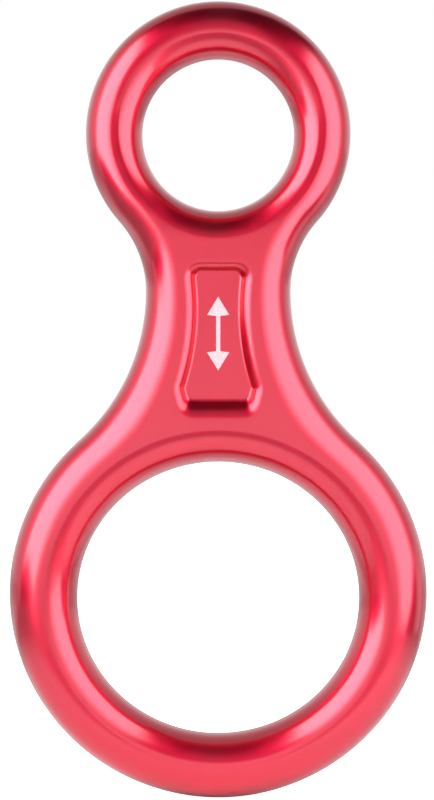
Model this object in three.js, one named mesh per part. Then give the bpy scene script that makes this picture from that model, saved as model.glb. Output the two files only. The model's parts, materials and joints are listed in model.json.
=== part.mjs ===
// A figure-8 rope descender: one closed-die aluminium forging, with a small eye for a
// carabiner above a large ring for the rope, and a shallow pocket in each face of the web.
// Millimetres. +Z runs up the body towards the small eye, +X to the right, and the front
// faces -Y. The origin is the centre of the small eye.
import * as THREE from "three";
import { mergeVertices } from "three/addons/utils/BufferGeometryUtils.js";

// Driving dimensions
const centreDistance = 69.7; // the small eye's centre to the large hole's centre

const eye = {
  holeRadius: 11.5,
  bar: 8.4, // across the bar beside the hole
  crownExtra: 0.25, // how far the outer circle sits above the hole's centre
  thickness: 10.2, // at the crown
  holeRound: 4.4, // widest rounding in from the hole's edge
};

const ring = {
  holeHalfWidth: 21.3,
  holeHalfHeight: 20.5,
  sideBar: 10.1, // across the bar at the left and right
  bottomBar: 9.6,
  shoulderBar: 11.0, // what the bar would be at the top, under the web
  holeRound: 4.9, // widest rounding in from the hole's edge
};

const web = {
  thickness: 12, // of the web and of the large ring
  waistHalfWidth: 10.85,
  waistBelowEye: 3.9, // the narrowest place, below the lowest point of the eye's outer circle
  waistRound: 4.8, // rounding in from the edge at the waist
  shoulderRound: 6.2, // rounding in from the edge where the web meets the large ring
  taperLength: 20, // over this height the thickness falls to that of the eye's crown
};

const pocket = {
  depth: 1.4,
  wall: 1.0, // how far the drafted wall runs in, from rim to floor
  topLand: 8.9, // from the small hole's edge to the middle of the top wall
  bottomLand: 8.6, // from the large hole's edge to the middle of the bottom wall
  sideLand: 7.35, // from the waist's edge to the middle of the side wall
  flareDrop: 2.8, // the side walls are narrowest this far below the waist
  topCorner: 1.0, // corner cuts, each way
  bottomCornerRun: 0.9,
  bottomCornerRise: 2.3,
};

const crestLand = 0.45; // flat left between the two roundings along the top of each bar
const blend = 0.3; // how gently a rounding stops widening

const outlineSteps = 98; // along each half of the outer outline
const eyeSteps = 56;
const ringSteps = 80;
const roundSteps = 5; // from the middle plane to a face
const flareSteps = 6; // along each side wall of a pocket

// What follows from them
const eyeOuter = {
  z: eye.crownExtra,
  halfWidth: eye.holeRadius + eye.bar,
  halfHeight: eye.holeRadius + eye.bar,
};
const ringOuter = {
  z: -centreDistance + (ring.shoulderBar - ring.bottomBar) / 2,
  halfWidth: ring.holeHalfWidth + ring.sideBar,
  halfHeight: ring.holeHalfHeight + (ring.shoulderBar + ring.bottomBar) / 2,
};
const waistZ = eyeOuter.z - eyeOuter.halfHeight - web.waistBelowEye;
const upperArc = neckArc(eyeOuter);
const lowerArc = neckArc(ringOuter);
const shoulderZ = ringOuter.z + ringOuter.halfHeight * Math.sin(lowerArc.meets);
const taperStart = -(eye.holeRadius + eye.holeRound);

// The concave arc that leaves the waist upright and runs into one of the outer ellipses.
// meets is where it touches, as the ellipse's own angle above or below its middle.
function neckArc(ellipse) {
  const height = Math.abs(waistZ - ellipse.z);
  const at = (angle) => {
    const slope = new THREE.Vector2(
      Math.cos(angle) / ellipse.halfWidth,
      Math.sin(angle) / ellipse.halfHeight,
    ).normalize();
    const radius = (height - ellipse.halfHeight * Math.sin(angle)) / slope.y;
    const overshoot = ellipse.halfWidth * Math.cos(angle) + radius * (slope.x - 1) - web.waistHalfWidth;
    return { radius, overshoot, sweep: Math.atan2(slope.y, slope.x) };
  };
  let low = 0.01;
  let high = Math.PI / 2;
  for (let i = 0; i < 50; i++) {
    const middle = (low + high) / 2;
    if (at(middle).overshoot > 0) low = middle;
    else high = middle;
  }
  return { meets: low, radius: at(low).radius, sweep: at(low).sweep };
}

// The outer outline, anticlockwise from the crown as seen from the front.
function outerOutline() {
  const side = new THREE.CurvePath();
  const ellipse = ({ z, halfWidth, halfHeight }, from, to) =>
    side.add(new THREE.EllipseCurve(0, z, halfWidth, halfHeight, from, to, true));
  const neck = (radius, from, to) =>
    side.add(new THREE.EllipseCurve(web.waistHalfWidth + radius, waistZ, radius, radius, from, to));
  ellipse(eyeOuter, Math.PI / 2, -upperArc.meets);
  neck(upperArc.radius, Math.PI - upperArc.sweep, Math.PI);
  neck(lowerArc.radius, Math.PI, Math.PI + lowerArc.sweep);
  ellipse(ringOuter, lowerArc.meets, -Math.PI / 2);
  const right = side.getSpacedPoints(outlineSteps);
  const left = right.slice(1, -1).map((p) => new THREE.Vector2(-p.x, p.y));
  return [right[0], ...left, right.at(-1), ...right.slice(1, -1).reverse()];
}

// A hole's edge, clockwise as seen from the front, so that the metal is on the left as it
// is along the outer outline.
function holeEdge(z, halfWidth, halfHeight, steps) {
  const edge = new THREE.EllipseCurve(0, z, halfWidth, halfHeight, 0, 2 * Math.PI, true);
  return edge.getSpacedPoints(steps).slice(0, -1);
}

// Half the body's thickness at a height.
function halfThickness(z) {
  const rise = THREE.MathUtils.smoothstep(z, taperStart, taperStart + web.taperLength);
  return THREE.MathUtils.lerp(web.thickness, eye.thickness, rise) / 2;
}

// The lesser of two widths, passing gently from one to the other.
function gentleLeast(a, b) {
  return (a + b - Math.hypot(a - b, blend)) / 2;
}

// How far a point is from the nearest side of any of these loops.
function distanceToLoops(point, loops) {
  let least = Infinity;
  for (const loop of loops) {
    loop.forEach((start, i) => {
      const side = loop[(i + 1) % loop.length].clone().sub(start);
      const share = THREE.MathUtils.clamp(point.clone().sub(start).dot(side) / side.lengthSq(), 0, 1);
      least = Math.min(least, start.clone().addScaledVector(side, share).distanceTo(point));
    });
  }
  return least;
}

// The rows of a rounded edge, from the back face round the middle plane to the front face.
// across holds the loops on the bar's other side, and widest(z) is the widest rounding.
function roundedEdge(edge, across, widest) {
  const sections = edge.map((point, i) => {
    const before = edge.at(i - 1);
    const after = edge[(i + 1) % edge.length];
    const along = after.clone().sub(before).normalize();
    const inward = new THREE.Vector2(-along.y, along.x);
    const bar = distanceToLoops(point, across);
    const width = gentleLeast((bar - crestLand) / 2, widest(point.y));
    return { point, inward, width, half: halfThickness(point.y + inward.y * width) };
  });
  const rows = [];
  for (let step = -roundSteps; step <= roundSteps; step++) {
    const angle = (step / roundSteps) * (Math.PI / 2);
    rows.push(sections.map(({ point, inward, width, half }) => {
      const inset = width * (1 - Math.cos(angle));
      return new THREE.Vector3(
        point.x + inward.x * inset,
        -half * Math.sin(angle),
        point.y + inward.y * inset,
      );
    }));
  }
  return rows;
}

// A pocket's outline where its wall is inset this far from the wall's middle.
function pocketOutline(inset) {
  const radius = lowerArc.radius + pocket.sideLand + inset;
  const centreX = web.waistHalfWidth + lowerArc.radius;
  const centreZ = waistZ - pocket.flareDrop;
  const top = -eye.holeRadius - pocket.topLand - inset;
  const bottom = -centreDistance + ring.holeHalfHeight + pocket.bottomLand + inset;
  const sideX = (z) => centreX - Math.sqrt(radius ** 2 - (z - centreZ) ** 2);
  const right = [new THREE.Vector2(sideX(top) - pocket.topCorner, top)];
  for (let i = 0; i <= flareSteps; i++) {
    const z = THREE.MathUtils.lerp(top - pocket.topCorner, bottom + pocket.bottomCornerRise, i / flareSteps);
    right.push(new THREE.Vector2(sideX(z), z));
  }
  right.push(new THREE.Vector2(right.at(-1).x - pocket.bottomCornerRun, bottom));
  return [...right, ...right.map((p) => new THREE.Vector2(-p.x, p.y)).reverse()];
}

// A pocket's rim and floor, as rows in the order that strip takes. side is -1 at the front.
function pocketRows(side) {
  const rim = pocketOutline(-pocket.wall / 2);
  const floor = pocketOutline(pocket.wall / 2);
  const row = (outline, depth) =>
    outline.map((p) => new THREE.Vector3(p.x, side * (halfThickness(p.y) - depth), p.y));
  return { rim: row(rim, 0), floor: row(floor, pocket.depth) };
}

// The faces between two rows of a loop, of which the second lies further forward.
function strip(back, front) {
  return back.flatMap((point, i) => {
    const next = (i + 1) % back.length;
    return [point, back[next], front[next], point, front[next], front[i]];
  });
}

// The face inside an outline and round its holes. side is -1 for one that looks forward.
function cap(outline, holes, side) {
  const flat = (row) => row.map((p) => new THREE.Vector2(p.x, p.z));
  const corners = [outline, ...holes].flat();
  const normal = new THREE.Vector3();
  return THREE.ShapeUtils.triangulateShape(flat(outline), holes.map(flat)).flatMap((triangle) => {
    const [a, b, c] = triangle.map((index) => corners[index]);
    THREE.Triangle.getNormal(a, b, c, normal);
    return normal.y * side > 0 ? [a, b, c] : [a, c, b];
  });
}

function bodyGeometry() {
  const outline = outerOutline();
  const eyeHole = holeEdge(0, eye.holeRadius, eye.holeRadius, eyeSteps);
  const ringHole = holeEdge(-centreDistance, ring.holeHalfWidth, ring.holeHalfHeight, ringSteps);
  const edgeRound = (z) => {
    const share = THREE.MathUtils.clamp((waistZ - z) / (waistZ - shoulderZ), 0, 1);
    return THREE.MathUtils.lerp(web.waistRound, web.shoulderRound, share);
  };
  const bands = [
    roundedEdge(outline, [eyeHole, ringHole], edgeRound),
    roundedEdge(eyeHole, [outline], () => eye.holeRound),
    roundedEdge(ringHole, [outline], () => ring.holeRound),
  ];
  const corners = [];
  for (const rows of bands) {
    for (let i = 1; i < rows.length; i++) corners.push(...strip(rows[i - 1], rows[i]));
  }
  for (const side of [-1, 1]) {
    const [outer, ...holes] = bands.map((rows) => (side < 0 ? rows.at(-1) : rows[0]));
    const { rim, floor } = pocketRows(side);
    corners.push(...cap(outer, [...holes, rim], side));
    corners.push(...(side < 0 ? strip(floor, rim) : strip(rim, floor)));
    corners.push(...cap(floor, [], side));
  }
  const geometry = mergeVertices(new THREE.BufferGeometry().setFromPoints(corners));
  geometry.computeVertexNormals();
  return geometry;
}

function descenderBody() {
  const redAnodised = new THREE.MeshStandardMaterial({ color: 0xc81f38, roughness: 0.25, metalness: 1 });
  const mesh = new THREE.Mesh(bodyGeometry(), redAnodised);
  mesh.name = "descender_body";
  return mesh;
}

const descender = new THREE.Group();
descender.add(descenderBody());

export default descender;
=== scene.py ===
import json
import math

import bpy
import numpy as np
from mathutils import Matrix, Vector, kdtree, noise
from mathutils.geometry import delaunay_2d_cdt


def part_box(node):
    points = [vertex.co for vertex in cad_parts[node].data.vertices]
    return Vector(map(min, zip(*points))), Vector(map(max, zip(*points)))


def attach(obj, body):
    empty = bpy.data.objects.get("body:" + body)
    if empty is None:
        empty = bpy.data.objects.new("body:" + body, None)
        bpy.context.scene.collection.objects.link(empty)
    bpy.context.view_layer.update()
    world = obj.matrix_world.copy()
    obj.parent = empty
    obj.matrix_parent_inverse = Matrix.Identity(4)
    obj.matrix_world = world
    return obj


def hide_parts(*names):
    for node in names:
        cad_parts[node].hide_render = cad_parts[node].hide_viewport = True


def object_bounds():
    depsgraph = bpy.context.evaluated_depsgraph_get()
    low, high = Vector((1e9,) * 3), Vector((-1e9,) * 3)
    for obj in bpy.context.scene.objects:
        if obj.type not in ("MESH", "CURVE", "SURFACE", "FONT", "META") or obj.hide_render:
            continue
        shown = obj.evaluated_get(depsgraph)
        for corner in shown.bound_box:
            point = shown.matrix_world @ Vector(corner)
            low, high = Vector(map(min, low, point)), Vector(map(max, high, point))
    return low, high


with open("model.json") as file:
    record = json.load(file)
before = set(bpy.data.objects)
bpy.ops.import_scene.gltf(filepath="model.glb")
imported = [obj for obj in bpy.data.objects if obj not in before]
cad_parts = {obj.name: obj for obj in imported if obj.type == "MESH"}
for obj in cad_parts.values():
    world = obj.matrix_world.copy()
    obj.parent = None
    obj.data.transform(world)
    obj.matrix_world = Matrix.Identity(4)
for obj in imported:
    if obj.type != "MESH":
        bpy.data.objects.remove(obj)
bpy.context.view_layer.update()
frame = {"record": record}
cadLow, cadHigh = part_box("descender_body")
record = frame["record"]
print("frame loaded, the body is", [round(size * 1000, 1) for size in cadHigh - cadLow], "mm")

# A figure-8 rope descender, forged in aluminium and anodised red. Shapes are worked out in
# millimetres, x to the right and z up towards the small eye, and meshes are made in metres.
mm = 0.001
arcSteps = 3000  # along each arc, before its points are spaced evenly
measureStep = 0.05  # between the places that distances are measured to


def named(things, name):
    return next(thing for thing in things if thing["name"] == name)


def smoothstep(value, start, end):
    share = np.clip((value - start) / (end - start), 0, 1)
    return share * share * (3 - 2 * share)


def evenly(points, step):
    # the same line, with its points an even distance apart
    lengths = np.r_[0, np.cumsum(np.linalg.norm(np.diff(points, axis=0), axis=1))]
    at = np.linspace(0, lengths[-1], round(lengths[-1] / step) + 1)
    return np.column_stack([np.interp(at, lengths, points[:, i]) for i in (0, 1)])


def ellipseLine(centre, halfWidth, halfHeight, start, end):
    angles = np.linspace(start, end, arcSteps)
    return np.column_stack([
        centre[0] + halfWidth * np.cos(angles),
        centre[1] + halfHeight * np.sin(angles),
    ])


def closed(loop):
    # a loop that ends where it starts
    return np.vstack([loop, loop[:1]])


def mirroredLoop(right):
    # a loop from its right half, which starts and ends on the middle line
    left = right[1:-1] * [-1, 1]
    return np.vstack([right[:1], left, right[-1:], right[-2:0:-1]])


def inwardOf(loop):
    # unit vectors to the left of a loop, which is where the metal is
    along = np.roll(loop, -1, axis=0) - np.roll(loop, 1, axis=0)
    along /= np.linalg.norm(along, axis=1)[:, None]
    return np.column_stack([-along[:, 1], along[:, 0]])


def distances(points, loops):
    # how far each point is from the nearest of these loops
    places = np.vstack([evenly(closed(loop), measureStep) for loop in loops])
    tree = kdtree.KDTree(len(places))
    for i, (x, z) in enumerate(places):
        tree.insert((x, 0, z), i)
    tree.balance()
    return np.array([tree.find((x, 0, z))[2] for x, z in points])


def insideLoop(points, loop):
    # a point is inside where a line to its right crosses the loop an odd number of times
    x, z = points[:, :1], points[:, 1:]
    after = np.roll(loop, -1, axis=0)
    spans = (loop[:, 1] > z) != (after[:, 1] > z)
    rise = np.where(after[:, 1] == loop[:, 1], 1, after[:, 1] - loop[:, 1])
    crossing = loop[:, 0] + (z - loop[:, 1]) / rise * (after[:, 0] - loop[:, 0])
    return (spans & (x < crossing)).sum(axis=1) % 2 == 1


# the forged body
body = {
    "eyeHoleRadius": 11.5,
    "eyeCrownExtra": 0.25,  # how far the eye's outer circle sits above its hole's centre
    "eyeThickness": 10.2,  # at the crown
    "eyeHoleRound": 4.4,  # widest rounding in from the hole's edge
    "ringHoleHalfWidth": 21.3,
    "ringHoleHalfHeight": 20.5,
    "shoulderBar": 11.0,  # what the ring's bar would be at the top, under the web
    "ringHoleRound": 4.9,
    "waistHalfWidth": 10.85,
    "waistBelowEye": 3.9,
    "waistRound": 4.8,
    "shoulderRound": 6.2,
    "taperLength": 20,  # over this height the body thins towards the eye's crown
    "crestLand": 0.25,  # flat along the top of each bar
    "blend": 0.5,  # how gently a rounding stops widening
    "flashHeight": 0.05,  # what trimming left of the flash, round the middle plane
    "flashHalfWidth": 0.45,
    "flashTop": 0.6,  # the flash starts to fall away here, and ends at its foot,
    "flashFoot": 1.25,  # both as shares of its half width
    "step": 0.42,  # between the mesh's points along an edge
    "flatStep": 0.6,  # and over the flats
    "flatGap": 0.55,  # how near an edge those may come, as a share of their own step
    # angles round a section from the middle plane to the front face, in degrees
    "section": [0, 2.2, 4.0, 5.6, 8, 12, 17, 23, 30, 37, 44, 51, 58, 64, 70, 75, 80, 85, 90],
}

ringHoleBox = np.array(named(record["physics"]["openings"], "rope_ring")["box_m"]) / mm
ringHoleZ = ringHoleBox[:, 2].mean()
ringBottomBar = ringHoleZ - body["ringHoleHalfHeight"] - cadLow.z / mm
eyeOuterRadius = cadHigh.z / mm - body["eyeCrownExtra"]
eyeOuter = {
    "z": body["eyeCrownExtra"],
    "halfWidth": eyeOuterRadius,
    "halfHeight": eyeOuterRadius,
}
ringOuter = {
    "z": ringHoleZ + (body["shoulderBar"] - ringBottomBar) / 2,
    "halfWidth": cadHigh.x / mm,
    "halfHeight": body["ringHoleHalfHeight"] + (body["shoulderBar"] + ringBottomBar) / 2,
}
waistZ = eyeOuter["z"] - eyeOuter["halfHeight"] - body["waistBelowEye"]


def neckArc(outer):
    # the concave arc that leaves the waist upright and runs into an outer ellipse. Where it
    # meets the ellipse is found by halving the range again and again
    height = abs(waistZ - outer["z"])
    halvings = 60
    low, high = 0.01, math.pi / 2
    for _ in range(halvings):
        meets = (low + high) / 2
        slopeX = math.cos(meets) / outer["halfWidth"]
        slopeZ = math.sin(meets) / outer["halfHeight"]
        slope = Vector((slopeX, slopeZ)).normalized()
        radius = (height - outer["halfHeight"] * math.sin(meets)) / slope.y
        reach = outer["halfWidth"] * math.cos(meets) + radius * (slope.x - 1)
        if reach > body["waistHalfWidth"]:
            low = meets
        else:
            high = meets
    return {"meets": meets, "radius": radius, "sweep": math.atan2(slope.y, slope.x)}


upperArc = neckArc(eyeOuter)
lowerArc = neckArc(ringOuter)
shoulderZ = ringOuter["z"] + ringOuter["halfHeight"] * math.sin(lowerArc["meets"])


def outerEdge():
    def bulge(outer, start, end):
        return ellipseLine((0, outer["z"]), outer["halfWidth"], outer["halfHeight"], start, end)

    def neck(arc, start, end):
        centre = (body["waistHalfWidth"] + arc["radius"], waistZ)
        return ellipseLine(centre, arc["radius"], arc["radius"], start, end)

    right = np.vstack([
        bulge(eyeOuter, math.pi / 2, -upperArc["meets"]),
        neck(upperArc, math.pi - upperArc["sweep"], math.pi),
        neck(lowerArc, math.pi, math.pi + lowerArc["sweep"]),
        bulge(ringOuter, lowerArc["meets"], -math.pi / 2),
    ])
    return mirroredLoop(evenly(right, body["step"]))


def holeEdge(z, halfWidth, halfHeight):
    # clockwise from the front, so that the metal is on the left as it is along the outer edge
    return evenly(ellipseLine((0, z), halfWidth, halfHeight, 2 * math.pi, 0), body["step"])[:-1]


def halfThickness(z):
    start = -(body["eyeHoleRadius"] + body["eyeHoleRound"])
    rise = smoothstep(z, start, start + body["taperLength"])
    return cadHigh.y / mm + (body["eyeThickness"] / 2 - cadHigh.y / mm) * rise


def roundedEdge(edge, across, widest):
    # rows of points round a bar's edge, from the back face to the front face
    bars = (distances(edge, across) - body["crestLand"]) / 2
    widths = (bars + widest - np.hypot(bars - widest, body["blend"])) / 2
    inward = inwardOf(edge)
    halves = halfThickness(edge[:, 1] + inward[:, 1] * widths)
    flashTop = body["flashTop"] * body["flashHalfWidth"]
    flashFoot = body["flashFoot"] * body["flashHalfWidth"]
    rows = []
    for angle in np.radians([-angle for angle in body["section"][:0:-1]] + body["section"]):
        depth = halves * math.sin(angle)
        flash = body["flashHeight"] * (1 - smoothstep(abs(depth), flashTop, flashFoot))
        flat = edge + inward * (widths * (1 - math.cos(angle)) - flash)[:, None]
        rows.append(np.column_stack([flat[:, 0], -depth, flat[:, 1]]))
    return rows


# the pocket in each face of the web
pocket = {
    "depth": 1.4,
    "topLand": 8.9,  # from the small hole's edge to the middle of the top wall
    "bottomLand": 8.6,  # from the large hole's edge to the middle of the bottom wall
    "sideLand": 7.35,  # from the waist's edge to the middle of a side wall
    "flareDrop": 2.8,  # the side walls are narrowest this far below the waist
    "cornerRun": 0.3,  # the cut across each bottom corner
    "cornerRise": 1.1,
    "cornerRadius": 1.3,
    "rimRadius": 1.7,
    "floorRadius": 0.55,
    "wallSlope": 54,  # degrees from flat
    "bottomStretch": 0.5,  # how much further the bottom wall leans than the side walls
    "topSquash": 0.3,  # and how much less the top wall does
    "shadeFrom": 0.5,  # the painted recess shade comes in between these shares of the slope
    "shadeTo": 0.95,
    "step": 0.25,
    "turnStep": 0.04,  # radians between the points round a corner
    "rimRows": 11,
    "floorRows": 9,
}


def sharpPocket(inset):
    # the pocket's outline with sharp corners, clockwise from the front
    radius = lowerArc["radius"] + pocket["sideLand"] + inset
    centre = (body["waistHalfWidth"] + lowerArc["radius"], waistZ - pocket["flareDrop"])
    top = -body["eyeHoleRadius"] - pocket["topLand"] - inset
    bottom = ringHoleZ + body["ringHoleHalfHeight"] + pocket["bottomLand"] + inset
    cut = bottom + pocket["cornerRise"]
    start = math.pi - math.asin((top - centre[1]) / radius)
    end = math.pi - math.asin((cut - centre[1]) / radius)
    side = ellipseLine(centre, radius, radius, start, end)
    right = np.vstack([[0, top], side, [side[-1, 0] - pocket["cornerRun"], bottom], [0, bottom]])
    return mirroredLoop(right)[::-1]


def swollen(loop, reach):
    # a loop moved outwards, with each corner rounded about its own point
    before = loop - np.roll(loop, 1, axis=0)
    after = np.roll(before, -1, axis=0)
    points = []
    for place, first, last in zip(loop, before, after):
        heading = math.atan2(first[1], first[0])
        turn = math.remainder(math.atan2(last[1], last[0]) - heading, 2 * math.pi)
        for share in np.linspace(0, 1, 2 + int(abs(turn) / pocket["turnStep"])):
            angle = heading + turn * share
            points.append(place + reach * np.array([-math.sin(angle), math.cos(angle)]))
    return np.array(points)


def pocketLine():
    # the middle of the pocket's wall, clockwise from the front
    loop = swollen(sharpPocket(pocket["cornerRadius"]), pocket["cornerRadius"])
    return evenly(closed(loop), pocket["step"])[:-1]


def wallProfile():
    # from the rim to the floor: how far out, how deep and how steep, as a share of the slope
    rim, foot, depth = pocket["rimRadius"], pocket["floorRadius"], pocket["depth"]
    slope = math.radians(pocket["wallSlope"])
    rimRun = rim * math.sin(slope)
    drop = depth - (rim + foot) * (1 - math.cos(slope))
    wallRun = max(drop, 0) / math.tan(slope)
    profile = []
    for share in np.linspace(0, 1, pocket["rimRows"]):
        turn = slope * share
        out = rimRun - rim * math.sin(turn) + wallRun / 2
        profile.append((out, rim * (1 - math.cos(turn)), share))
    for share in np.linspace(1, 0, pocket["floorRows"]):
        turn = slope * share
        out = foot * (math.sin(turn) - math.sin(slope)) - wallRun / 2
        profile.append((out, depth - foot * (1 - math.cos(turn)), share))
    return profile


def pocketRows():
    # the wall's line at each step of its profile, with how deep and how steep it is there
    line = pocketLine()
    outward = inwardOf(line)
    up = np.clip(outward[:, 1], 0, 1) ** 2
    down = np.clip(-outward[:, 1], 0, 1) ** 2
    lean = (1 + pocket["bottomStretch"] * down - pocket["topSquash"] * up)[:, None]
    return [(line + outward * out * lean, deep, steep) for out, deep, steep in wallProfile()]


class Shell:
    # the points and faces of one closed skin, in millimetres

    def __init__(self):
        self.points = []
        self.faces = []

    def row(self, points):
        start = len(self.points)
        self.points.extend(map(tuple, points))
        return list(range(start, start + len(points)))

    def strip(self, back, front):
        for i, corner in enumerate(back):
            after = (i + 1) % len(back)
            self.faces.append((corner, back[after], front[after], front[i]))

    def fill(self, loops, depthAt, side):
        # a flat area inside the first loop and outside the others. side is -1 at the front
        flats = [np.array([self.points[i] for i in loop])[:, [0, 2]] for loop in loops]
        low, high = flats[0].min(axis=0), flats[0].max(axis=0)
        step = body["flatStep"]
        across = np.arange(low[0] + step / 2, high[0], step)
        up = np.arange(low[1] + step / 2, high[1], step)
        grid = np.array([(x + (row % 2) * step / 2, z) for row, z in enumerate(up) for x in across])
        grid = grid[self.within(grid, flats)]
        grid = grid[distances(grid, flats) > body["flatGap"] * step]
        inner = self.row([(x, side * depthAt(z), z) for x, z in grid])
        indices = [i for loop in loops for i in loop] + inner
        flat = [Vector(p) for p in np.vstack(flats + [grid])]
        edges, start = [], 0
        for loop in loops:
            edges += [(start + i, start + (i + 1) % len(loop)) for i in range(len(loop))]
            start += len(loop)
        fillEdges, joinWithin = 1, 1e-7
        filled = delaunay_2d_cdt(flat, edges, [], fillEdges, joinWithin)
        places, triangles, sources = filled[0], filled[2], filled[3]
        middles = np.array([sum((places[i] for i in three), Vector((0, 0))) / 3 for three in triangles])
        kept = np.flatnonzero(self.within(middles, flats))
        for triangle in (triangles[i] for i in kept):
            a, b, c = (places[i] for i in triangle)
            turn = (b - a).cross(c - a)
            corners = [indices[sources[i][0]] for i in triangle]
            self.faces.append(corners if turn * side < 0 else corners[::-1])

    def within(self, points, flats):
        kept = insideLoop(points, flats[0])
        for hole in flats[1:]:
            kept &= ~insideLoop(points, hole)
        return kept


# the gentle unevenness that forging and tumbling leave, in millimetres
unevenness = {
    "height": 0.016,
    "spacing": 9,
    "fineHeight": 0.006,
    "fineSpacing": 3.5,
    "fineShift": (7, 3, 1),  # keeps the fine swells out of step with the broad ones
}


def wave(place):
    broad = noise.noise(place / unevenness["spacing"])
    fine = noise.noise(place / unevenness["fineSpacing"] + Vector(unevenness["fineShift"]))
    return unevenness["height"] * broad + unevenness["fineHeight"] * fine


def addObject(name, data):
    thing = bpy.data.objects.new(name, data)
    bpy.context.scene.collection.objects.link(thing)
    return thing


def makeMesh(name, points, faces, smooth):
    mesh = bpy.data.meshes.new(name)
    mesh.from_pydata([Vector(p) * mm for p in points], [], faces)
    mesh.polygons.foreach_set("use_smooth", [smooth] * len(mesh.polygons))
    mesh.update()
    return addObject(name, mesh)


def makeBody():
    outer = outerEdge()
    eyeHole = holeEdge(0, body["eyeHoleRadius"], body["eyeHoleRadius"])
    ringHole = holeEdge(ringHoleZ, body["ringHoleHalfWidth"], body["ringHoleHalfHeight"])
    down = np.clip((waistZ - outer[:, 1]) / (waistZ - shoulderZ), 0, 1)
    outerRound = body["waistRound"] + (body["shoulderRound"] - body["waistRound"]) * down
    shell = Shell()
    bands, paintedShadeByPoint = [], {}
    for rows in (
        roundedEdge(outer, [eyeHole, ringHole], outerRound),
        roundedEdge(eyeHole, [outer], body["eyeHoleRound"]),
        roundedEdge(ringHole, [outer], body["ringHoleRound"]),
    ):
        band = [shell.row(row) for row in rows]
        for back, front in zip(band, band[1:]):
            shell.strip(back, front)
        bands.append(band)
    for side in (-1, 1):
        walls = []
        for flat, deep, steep in pocketRows():
            depths = side * (halfThickness(flat[:, 1]) - deep)
            walls.append(shell.row(np.column_stack([flat[:, 0], depths, flat[:, 1]])))
            # painted shade on the pockets' steep walls, one value for each point of the wall
            paintedWallShade = smoothstep(steep, pocket["shadeFrom"], pocket["shadeTo"])
            paintedShadeByPoint.update(dict.fromkeys(walls[-1], paintedWallShade))
        for rim, floor in zip(walls, walls[1:]):
            if side < 0:
                shell.strip(floor, rim)
            else:
                shell.strip(rim, floor)
        crests = [band[-1] if side < 0 else band[0] for band in bands]
        shell.fill([*crests, walls[0]], halfThickness, side)
        shell.fill([walls[-1]], lambda z: halfThickness(z) - pocket["depth"], side)
    piece = makeMesh("descenderForging", shell.points, shell.faces, smooth=True)
    mesh = piece.data
    normals = np.zeros(len(mesh.vertices) * 3, np.float32)
    mesh.vertex_normals.foreach_get("vector", normals)
    for vertex, normal in zip(mesh.vertices, normals.reshape(-1, 3)):
        vertex.co += Vector(normal) * wave(vertex.co / mm) * mm
    # the painted recess shade is kept on the mesh as a point attribute
    paintedRecessShade = mesh.attributes.new("paintedRecessShade", "FLOAT", "POINT")
    paintedRecessShade.data.foreach_set("value", [paintedShadeByPoint.get(i, 0) for i in range(len(mesh.vertices))])
    mesh.update()
    print("forged body made,", len(mesh.polygons), "faces")
    return piece


forging = makeBody()


# the load arrow, laser marked along the front pocket's floor
mark = {
    "length": 11.0,
    "headLength": 2.7,
    "headWidth": 3.3,
    "shaftWidth": 0.62,
    "proud": 0.012,  # its face stands this far off the pocket's floor
    "sunk": 0.03,  # and its underside lies this far in the metal
    "tipGap": 0.02,  # each point is blunted by this much
    "tipHalfWidth": 0.02,
    "step": 0.22,  # between the rows along the shaft
    "headRows": 14,
    "columns": 7,
}


def makeMark():
    middle = Vector(named(record["mounts"], "label_pocket_front")["pos_m"]) / mm
    half = mark["length"] / 2
    neck = half - mark["headLength"]
    shaft = [(z, mark["shaftWidth"] / 2) for z in np.arange(0, neck, mark["step"])]
    head = [(z, mark["headWidth"] / 2 * (half - z) / mark["headLength"])
            for z in np.linspace(neck, half - mark["tipGap"], mark["headRows"])]
    upper = shaft + head
    rows = [(-z, w) for z, w in upper[:0:-1]] + upper
    across, layer = mark["columns"], len(rows) * mark["columns"]
    points, faces = [], []
    for proud in (mark["proud"], -mark["sunk"]):
        for z, w in rows:
            for share in np.linspace(-1, 1, across):
                place = Vector((share * max(w, mark["tipHalfWidth"]), middle.y, middle.z + z))
                place.y -= wave(place) + proud
                points.append(place)
    for row in range(len(rows) - 1):
        for column in range(across - 1):
            corner = row * across + column
            face = (corner, corner + 1, corner + across + 1, corner + across)
            faces.append(face)
            faces.append(tuple(layer + i for i in reversed(face)))
    rim = list(range(across))
    rim += [row * across + across - 1 for row in range(1, len(rows))]
    rim += [(len(rows) - 1) * across + column for column in range(across - 2, -1, -1)]
    rim += [row * across for row in range(len(rows) - 2, 0, -1)]
    for i, corner in enumerate(rim):
        after = rim[(i + 1) % len(rim)]
        faces.append((after, corner, layer + corner, layer + after))
    piece = makeMesh("loadArrow", points, faces, smooth=False)
    print("load arrow made")
    return piece


arrow = makeMark()


def socketOf(sockets, name):
    return next(socket for socket in sockets if socket.name == name and socket.enabled)


def addNode(tree, kind, inputs=(), **settings):
    # an input is named, or numbered where a node's inputs share one name
    node = tree.nodes.new(kind)
    for name, value in settings.items():
        setattr(node, name, value)
    for name, value in dict(inputs).items():
        target = node.inputs[name] if isinstance(name, int) else socketOf(node.inputs, name)
        if isinstance(value, bpy.types.NodeSocket):
            tree.links.new(value, target)
        else:
            target.default_value = value
    return node


def output(node, name=None):
    return socketOf(node.outputs, name) if name else node.outputs[0]


def makeGroup(name, inputs, outputs):
    tree = bpy.data.node_groups.new(name, "ShaderNodeTree")
    for socket, kind in inputs:
        tree.interface.new_socket(name=socket, in_out="INPUT", socket_type=kind)
    for socket, kind in outputs:
        tree.interface.new_socket(name=socket, in_out="OUTPUT", socket_type=kind)
    return tree, tree.nodes.new("NodeGroupInput"), tree.nodes.new("NodeGroupOutput")


# fine grain left by etching and tumbling, with a coarser roll under it
grainNoise = {
    "grainDetail": 2.0,
    "grainRoughness": 0.6,
    "rollDetail": 1.0,
    "rollRoughness": 0.45,
}


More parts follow.
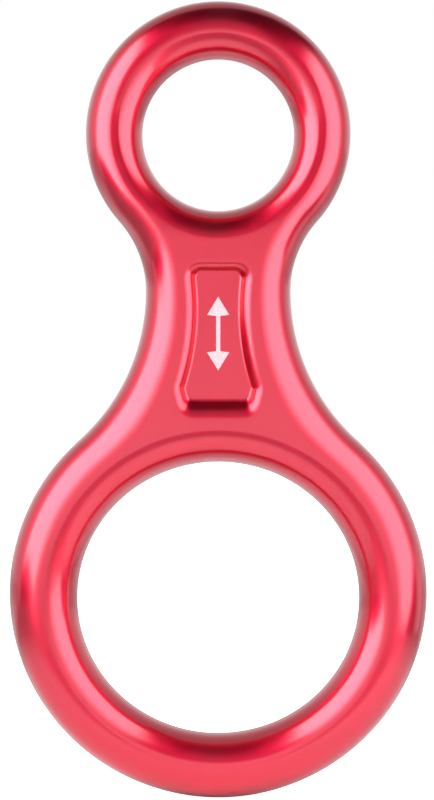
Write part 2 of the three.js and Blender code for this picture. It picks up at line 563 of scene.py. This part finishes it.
def makeGrainGroup():
    tree, given, made = makeGroup(
        "fineGrain",
        [("Position", "NodeSocketVector"), ("Grain per metre", "NodeSocketFloat"),
         ("Roll per metre", "NodeSocketFloat"), ("Roll share", "NodeSocketFloat")],
        [("Height", "NodeSocketFloat"), ("Mottle", "NodeSocketFloat")],
    )
    fine = addNode(tree, "ShaderNodeTexNoise", {
        "Vector": given.outputs["Position"], "Scale": given.outputs["Grain per metre"],
        "Detail": grainNoise["grainDetail"], "Roughness": grainNoise["grainRoughness"]})
    roll = addNode(tree, "ShaderNodeTexNoise", {
        "Vector": given.outputs["Position"], "Scale": given.outputs["Roll per metre"],
        "Detail": grainNoise["rollDetail"], "Roughness": grainNoise["rollRoughness"]})
    height = addNode(tree, "ShaderNodeMix", {
        "Factor": given.outputs["Roll share"], "A": output(fine), "B": output(roll)},
        data_type="FLOAT")
    tree.links.new(output(height, "Result"), made.inputs["Height"])
    tree.links.new(output(roll), made.inputs["Mottle"])
    return tree


grainGroup = makeGrainGroup()


def addGrain(tree, position, finish):
    return addNode(tree, "ShaderNodeGroup", {
        "Position": position, "Grain per metre": finish["grainPerMetre"],
        "Roll per metre": finish["rollPerMetre"], "Roll share": finish["rollShare"]},
        node_tree=grainGroup)


def newMaterial(name):
    material = bpy.data.materials.new(name)
    material.use_nodes = True
    tree = material.node_tree
    tree.nodes.clear()
    return material, tree


def finishMaterial(tree, shader):
    end = addNode(tree, "ShaderNodeOutputMaterial")
    tree.links.new(output(shader), end.inputs["Surface"])


def objectPosition(tree):
    return output(addNode(tree, "ShaderNodeTexCoord"), "Object")


anodising = {
    "metal": (0.71, 0.006, 0.041, 1),
    "thinDye": (0.75, 0.010, 0.050, 1),
    "thinShare": 0.6,  # how far the paler clouds go towards the thin dye
    "cloudsPerMetre": 70.0,
    "cloudDetail": 3.0,
    "cloudLow": 0.35,  # the range of the clouds' noise that is used
    "cloudHigh": 0.75,
    # painted shade for the pockets' steep walls: a dark red, and less coat shine
    "paintedShadeColor": (0.42, 0.001, 0.014, 1),
    "paintedShadeShare": 0.62,  # how far the pockets' walls go towards the painted shade colour
    "paintedShadeCoatCut": 0.6,  # and how much coat shine the painted shade takes off them
    "roughness": 0.36,
    "roughnessSpread": 0.04,
    "mottleLow": 0.3,  # the range of the mottle that is used
    "mottleHigh": 0.7,
    "flashDull": 0.10,  # roughness that the trimmed flash adds
    "flashFrom": 0.5,  # it fades out between these shares of the flash's half width
    "flashTo": 1.2,
    "coatRoughness": 0.14,
    "coatIor": 1.7,
    "grainPerMetre": 5200,
    "rollPerMetre": 520,
    "rollShare": 0.4,
    "grainHeight": 0.0000014,
}


def makeAnodising():
    material, tree = newMaterial("redAnodising")
    position = objectPosition(tree)
    grain = addGrain(tree, position, anodising)
    clouds = addNode(tree, "ShaderNodeTexNoise", {
        "Vector": position, "Scale": anodising["cloudsPerMetre"],
        "Detail": anodising["cloudDetail"]})
    dye = addNode(tree, "ShaderNodeMapRange", {
        "Value": output(clouds), "From Min": anodising["cloudLow"],
        "From Max": anodising["cloudHigh"], "To Min": 0.0, "To Max": anodising["thinShare"]})
    color = addNode(tree, "ShaderNodeMix", {
        "Factor": output(dye), "A": anodising["metal"], "B": anodising["thinDye"]},
        data_type="RGBA")
    # painted shade: the pockets' steep walls are mixed towards a dark red and lose coat shine, darker
    # and duller as if in shade
    paintedRecessShade = output(addNode(tree, "ShaderNodeAttribute", attribute_name="paintedRecessShade"), "Fac")
    deep = addNode(tree, "ShaderNodeMath", {0: paintedRecessShade, 1: anodising["paintedShadeShare"]},
                   operation="MULTIPLY")
    dyedAndShaded = addNode(tree, "ShaderNodeMix", {
        "Factor": output(deep), "A": output(color, "Result"), "B": anodising["paintedShadeColor"]},
        data_type="RGBA")
    coat = addNode(tree, "ShaderNodeMapRange", {
        "Value": paintedRecessShade, "To Min": 1.0, "To Max": 1 - anodising["paintedShadeCoatCut"]})
    # the trimmed flash round the middle plane is a little duller than the forged skin
    across = output(addNode(tree, "ShaderNodeSeparateXYZ", {"Vector": position}), "Y")
    away = addNode(tree, "ShaderNodeMath", {0: across}, operation="ABSOLUTE")
    flash = addNode(tree, "ShaderNodeMapRange", {
        "Value": output(away),
        "From Min": anodising["flashFrom"] * body["flashHalfWidth"] * mm,
        "From Max": anodising["flashTo"] * body["flashHalfWidth"] * mm,
        "To Min": anodising["flashDull"], "To Max": 0.0},
        interpolation_type="SMOOTHSTEP")
    mottled = addNode(tree, "ShaderNodeMapRange", {
        "Value": output(grain, "Mottle"),
        "From Min": anodising["mottleLow"], "From Max": anodising["mottleHigh"],
        "To Min": anodising["roughness"] - anodising["roughnessSpread"] / 2,
        "To Max": anodising["roughness"] + anodising["roughnessSpread"] / 2})
    roughness = addNode(tree, "ShaderNodeMath", {0: output(mottled), 1: output(flash)},
                        operation="ADD")
    bump = addNode(tree, "ShaderNodeBump", {
        "Height": output(grain, "Height"), "Distance": anodising["grainHeight"],
        "Strength": 1.0})
    shader = addNode(tree, "ShaderNodeBsdfPrincipled", {
        "Base Color": output(dyedAndShaded, "Result"), "Roughness": output(roughness),
        "Metallic": 1.0, "Coat Weight": output(coat),
        "Coat Roughness": anodising["coatRoughness"], "Coat IOR": anodising["coatIor"],
        "Normal": output(bump)})
    finishMaterial(tree, shader)
    return material


laser = {
    "white": (0.66, 0.54, 0.57, 1),
    "thin": (0.58, 0.26, 0.32, 1),
    "linesPerMetre": 2600,
    "lineDistortion": 1.0,
    "lineDetail": 1.0,
    "mottleShare": 0.6,  # how much of the pattern is mottle, the rest being lines
    "thinBelow": 0.2,  # the pattern runs from thin to fully white between these
    "whiteAbove": 0.5,
    "roughness": 0.55,
    "grainPerMetre": 9000,
    "rollPerMetre": 3000,
    "rollShare": 0.4,
    "grainHeight": 0.000004,
}


def makeLaserMark():
    # dye bleached out in fine parallel passes, so the red shows through here and there
    material, tree = newMaterial("laserBleached")
    position = objectPosition(tree)
    grain = addGrain(tree, position, laser)
    passes = addNode(tree, "ShaderNodeTexWave", {
        "Vector": position, "Scale": laser["linesPerMetre"],
        "Distortion": laser["lineDistortion"], "Detail": laser["lineDetail"]},
        bands_direction="Z")
    patchy = addNode(tree, "ShaderNodeMix", {
        "Factor": laser["mottleShare"], "A": output(passes, "Fac"), "B": output(grain, "Mottle")},
        data_type="FLOAT")
    shown = addNode(tree, "ShaderNodeMapRange", {
        "Value": output(patchy, "Result"), "From Min": laser["thinBelow"],
        "From Max": laser["whiteAbove"], "To Min": 0.0, "To Max": 1.0})
    color = addNode(tree, "ShaderNodeMix", {
        "Factor": output(shown), "A": laser["thin"], "B": laser["white"]}, data_type="RGBA")
    bump = addNode(tree, "ShaderNodeBump", {
        "Height": output(grain, "Height"), "Distance": laser["grainHeight"], "Strength": 1.0})
    shader = addNode(tree, "ShaderNodeBsdfPrincipled", {
        "Base Color": output(color, "Result"), "Roughness": laser["roughness"],
        "Metallic": 0.0, "Normal": output(bump)})
    finishMaterial(tree, shader)
    return material


forging.data.materials.append(makeAnodising())
arrow.data.materials.append(makeLaserMark())
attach(forging, "root")
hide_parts("descender_body")
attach(arrow, "root")
print("materials given")


# the camera looks straight at the front face. Lengths from here on are in metres
view = {
    "distance": 0.5,
    "x": -0.00018,
    "drop": 0.0001,  # below the body's own middle
    "height": 0.1207,  # what the view takes in at the body's middle plane
    "sensor": 36,
}
viewZ = (cadLow.z + cadHigh.z) / 2 - view["drop"]


def makeCamera():
    camera = addObject("camera", bpy.data.cameras.new("camera"))
    camera.location = (view["x"], -view["distance"], viewZ)
    camera.rotation_euler = (math.pi / 2, 0, 0)
    camera.data.sensor_width = view["sensor"]
    camera.data.lens = view["sensor"] * view["distance"] / view["height"]
    bpy.context.scene.camera = camera


sky = {
    "level": 0.75,
    "overhead": 0.45,
    "from": 0.2,  # how high it starts to darken, 1 being straight up
    "to": 0.85,
}


def makeSky():
    # white to the camera, and a little darker overhead in the body's reflections
    world = bpy.data.worlds.new("studioSky")
    bpy.context.scene.world = world
    world.use_nodes = True
    tree = world.node_tree
    tree.nodes.clear()
    direction = output(addNode(tree, "ShaderNodeTexCoord"), "Generated")
    up = output(addNode(tree, "ShaderNodeSeparateXYZ", {"Vector": direction}), "Z")
    level = addNode(tree, "ShaderNodeMapRange", {
        "Value": up, "From Min": sky["from"], "From Max": sky["to"],
        "To Min": sky["level"], "To Max": sky["overhead"]}, interpolation_type="SMOOTHSTEP")
    seen = output(addNode(tree, "ShaderNodeLightPath"), "Is Camera Ray")
    strength = addNode(tree, "ShaderNodeMix", {"Factor": seen, "A": output(level), "B": 1.0},
                       data_type="FLOAT")
    shader = addNode(tree, "ShaderNodeBackground", {
        "Color": (1, 1, 1, 1), "Strength": output(strength, "Result")})
    end = addNode(tree, "ShaderNodeOutputWorld")
    tree.links.new(output(shader), end.inputs["Surface"])


# the floor's colour has painted light in it: pale near the body and behind it, darker further out, to
# set what the body reflects
floor = {
    "halfSize": 4,
    "near": 0.85,  # painted light: how pale it is under the body, a pool of light round it
    "nearRadius": 0.06,
    "far": 0.25,
    "farRadius": 0.14,
    "behindFrom": 0.02,  # painted light: behind the body it turns pale again between these
    "behindTo": 0.12,
    "glow": 1.0,  # keeps it white to the camera, as the sky is
}


def makeFloor():
    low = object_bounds()[0]
    mesh = bpy.data.meshes.new("studioFloor")
    half = floor["halfSize"]
    corners = [(x, y, low.z) for x, y in ((-half, -half), (half, -half), (half, half), (-half, half))]
    mesh.from_pydata(corners, [], [(0, 1, 2, 3)])
    material, tree = newMaterial("paleFloor")
    position = objectPosition(tree)
    offset = addNode(tree, "ShaderNodeVectorMath", {0: position, 1: (0, 0, low.z)},
                     operation="DISTANCE")
    # painted light: the floor's colour fades from pale under the body to darker further out
    pale = addNode(tree, "ShaderNodeMapRange", {
        "Value": output(offset, "Value"),
        "From Min": floor["nearRadius"], "From Max": floor["farRadius"],
        "To Min": floor["near"], "To Max": floor["far"]}, interpolation_type="SMOOTHSTEP")
    back = output(addNode(tree, "ShaderNodeSeparateXYZ", {"Vector": position}), "Y")
    behind = addNode(tree, "ShaderNodeMapRange", {
        "Value": back, "From Min": floor["behindFrom"], "From Max": floor["behindTo"],
        "To Min": 0.0, "To Max": floor["near"]})
    color = addNode(tree, "ShaderNodeMath", {0: output(pale), 1: output(behind)},
                    operation="MAXIMUM")
    plain = addNode(tree, "ShaderNodeBsdfDiffuse", {"Color": output(color)})
    glow = addNode(tree, "ShaderNodeEmission", {"Strength": floor["glow"]})
    lit = addNode(tree, "ShaderNodeAddShader", {0: output(plain), 1: output(glow)})
    seen = output(addNode(tree, "ShaderNodeLightPath"), "Is Camera Ray")
    shader = addNode(tree, "ShaderNodeMixShader", {0: seen, 1: output(plain), 2: output(lit)})
    finishMaterial(tree, shader)
    mesh.materials.append(material)
    addObject("studioFloor", mesh)


# a cone of cloth from the camera out to the body, lit through at its left and right and dark
# at its top. Azimuths are degrees round the line of sight, from 0 at the right to 90 at the
# top. A name that ends in Off holds the angles away from that line where a change starts
# and ends
tent = {
    "innerRadius": 0.07,  # round the camera
    "leftRadius": 0.36,  # and beside the body
    "rightRadius": 0.14,
    "turn": (-0.2, 0.6),  # it narrows from left to right between these cosines
    "skirt": (-0.02, 0.06),  # the straight part beside the body, from front to back
    "discRings": 8,
    "coneRings": 30,
    "coneEnd": 0.94,
    "skirtRings": 6,
    "spokes": 180,
    # the lit panels
    "leftLevel": 4.7,
    "leftStart": 123,
    "leftEnd": 191,
    "leftPull": 14,  # how far the end of the left panel moves up further out
    "leftPullOff": (30, 75),
    "rightLevel": 3.3,
    "rightStart": -26,
    "rightPull": 22,
    "rightPullOff": (60, 88),
    "rightEnd": 55,
    "narrow": 10,  # how much later the panels start towards the top near the camera
    "narrowOff": (15, 40),
    "soft": 4,
    "softNear": 8,  # added near the camera
    "softOff": (8, 25),
    "dim": 0.3,  # the panels' share of their level near the camera
    "dimOff": (8, 40),
    "panelOff": (5, 12),
    "fade": 0.85,  # what they lose beside and behind the body
    "fadeOff": (80, 95),
    # the pale cloth round the camera, more so below
    "nearLevel": 1.12,
    "nearBelow": 0.24,
    "nearOff": (9.7, 11.9),
    "nearSpread": 0.5,
    "belowOff": (0, 6),
    # a paler stripe up the dark top, wide near the camera and narrow further out
    "stripe": (83, 92),
    "stripeLevel": 0.06,
    "stripeNear": 0.11,
    "stripeSpread": 6,
    "stripeOff": (36, 60),
    "topLevel": 0.06,
    "topOff": (12, 50),
    # the rest is pale, but dark just below the lit panels, out to a little behind the body
    "frontLevel": 0.95,
    "frontSoft": 6,
    "gapDepth": 0.9,
    "gapLeft": 222,
    "gapRight": -50,
    "gapSoft": 8,
    "gapOff": (42, 60),
    "gapEndOff": (88, 98),
    "darkLevel": 0.02,
}


def lobe(azimuth, start, end, soft):
    # 1 between two azimuths, falling softly to 0 on either side
    rise = smoothstep(azimuth, start - soft, start + soft)
    return rise * (1 - smoothstep(azimuth, end - soft, end + soft))


def tentLevel(azimuth, off):
    def past(name):
        return smoothstep(off, *tent[name])

    soft = tent["soft"] + tent["softNear"] * (1 - past("softOff"))
    narrow = tent["narrow"] * (1 - past("narrowOff"))
    leftEnd = tent["leftEnd"] - tent["leftPull"] * past("leftPullOff")
    rightStart = tent["rightStart"] + tent["rightPull"] * past("rightPullOff")
    grow = tent["dim"] + (1 - tent["dim"]) * past("dimOff")
    left = lobe(azimuth, tent["leftStart"] + narrow, leftEnd, soft) * tent["leftLevel"] * grow
    right = lobe(azimuth, rightStart, tent["rightEnd"] - narrow, soft) * tent["rightLevel"] * grow
    sides = (left + right) * past("panelOff") * (1 - tent["fade"] * past("fadeOff"))

    below = -math.sin(math.radians(azimuth)) * past("belowOff")
    nearStart, nearEnd = tent["nearOff"]
    near = 1 - smoothstep(off, nearStart, nearEnd + below * tent["nearSpread"])
    pale = near * tent["nearLevel"] * (1 + tent["nearBelow"] * below)

    wide = 1 - past("stripeOff")
    stripeStart, stripeEnd = tent["stripe"]
    spread = tent["stripeSpread"]
    stripe = lobe(azimuth, stripeStart - spread * wide, stripeEnd + spread * wide, spread)
    stripe *= tent["stripeLevel"] + tent["stripeNear"] * wide
    top = lobe(azimuth, tent["rightEnd"], tent["leftStart"], tent["frontSoft"])
    top *= tent["topLevel"] * (1 - past("topOff"))

    gaps = lobe(azimuth, leftEnd, tent["gapLeft"], tent["gapSoft"])
    gaps += lobe(azimuth, tent["gapRight"], rightStart, tent["gapSoft"])
    gaps *= past("gapOff") * (1 - past("gapEndOff"))
    front = (1 - lobe(azimuth, rightStart, leftEnd, tent["frontSoft"])) * tent["frontLevel"]
    front *= 1 - tent["gapDepth"] * gaps
    return tent["darkLevel"] + (sides + stripe + top + front) * (1 - near) + pale


def tentProfile():
    # rings from the camera out to the body and past it: how far back each one is, its radius
    # at the narrow end, and its share of the way from there to the wide end
    distance, inner = view["distance"], tent["innerRadius"]
    discFrom, discTo = 0.02, 0.9
    profile = [(-distance, inner * share, 0)
               for share in np.linspace(discFrom, discTo, tent["discRings"])]
    profile += [(-distance * (1 - share), inner, share)
                for share in np.linspace(0, tent["coneEnd"], tent["coneRings"])]
    profile += [(y, inner, 1) for y in np.linspace(*tent["skirt"], tent["skirtRings"])]
    return profile


def makeTent():
    points, faces, levels = [], [], []
    spokes = tent["spokes"]
    profile = tentProfile()
    for y, inner, share in profile:
        for spoke in range(spokes):
            azimuth = spoke / spokes * 360 - 90
            angle = math.radians(azimuth)
            towardsRight = smoothstep(math.cos(angle), *tent["turn"])
            outer = tent["leftRadius"] + towardsRight * (tent["rightRadius"] - tent["leftRadius"])
            radius = inner + share * (outer - inner)
            off = math.degrees(math.atan2(radius, -y))
            points.append((radius * math.cos(angle), y, viewZ + radius * math.sin(angle)))
            levels.append(tentLevel(azimuth, off))
    for ring in range(len(profile) - 1):
        for spoke in range(spokes):
            after = (spoke + 1) % spokes
            a, b = ring * spokes, (ring + 1) * spokes
            faces.append((a + spoke, a + after, b + after, b + spoke))
    mesh = bpy.data.meshes.new("lightTent")
    mesh.from_pydata(points, [], faces)
    glow = mesh.attributes.new("glow", "FLOAT", "POINT")
    glow.data.foreach_set("value", levels)
    material, tree = newMaterial("litCloth")
    level = addNode(tree, "ShaderNodeAttribute", attribute_name="glow")
    shader = addNode(tree, "ShaderNodeEmission", {
        "Color": (1, 1, 1, 1), "Strength": output(level, "Fac")})
    finishMaterial(tree, shader)
    mesh.materials.append(material)
    cloth = addObject("lightTent", mesh)
    cloth.visible_camera = False


makeCamera()
makeSky()
makeFloor()
makeTent()
bpy.context.scene.view_settings.view_transform = "Standard"
print("studio set")
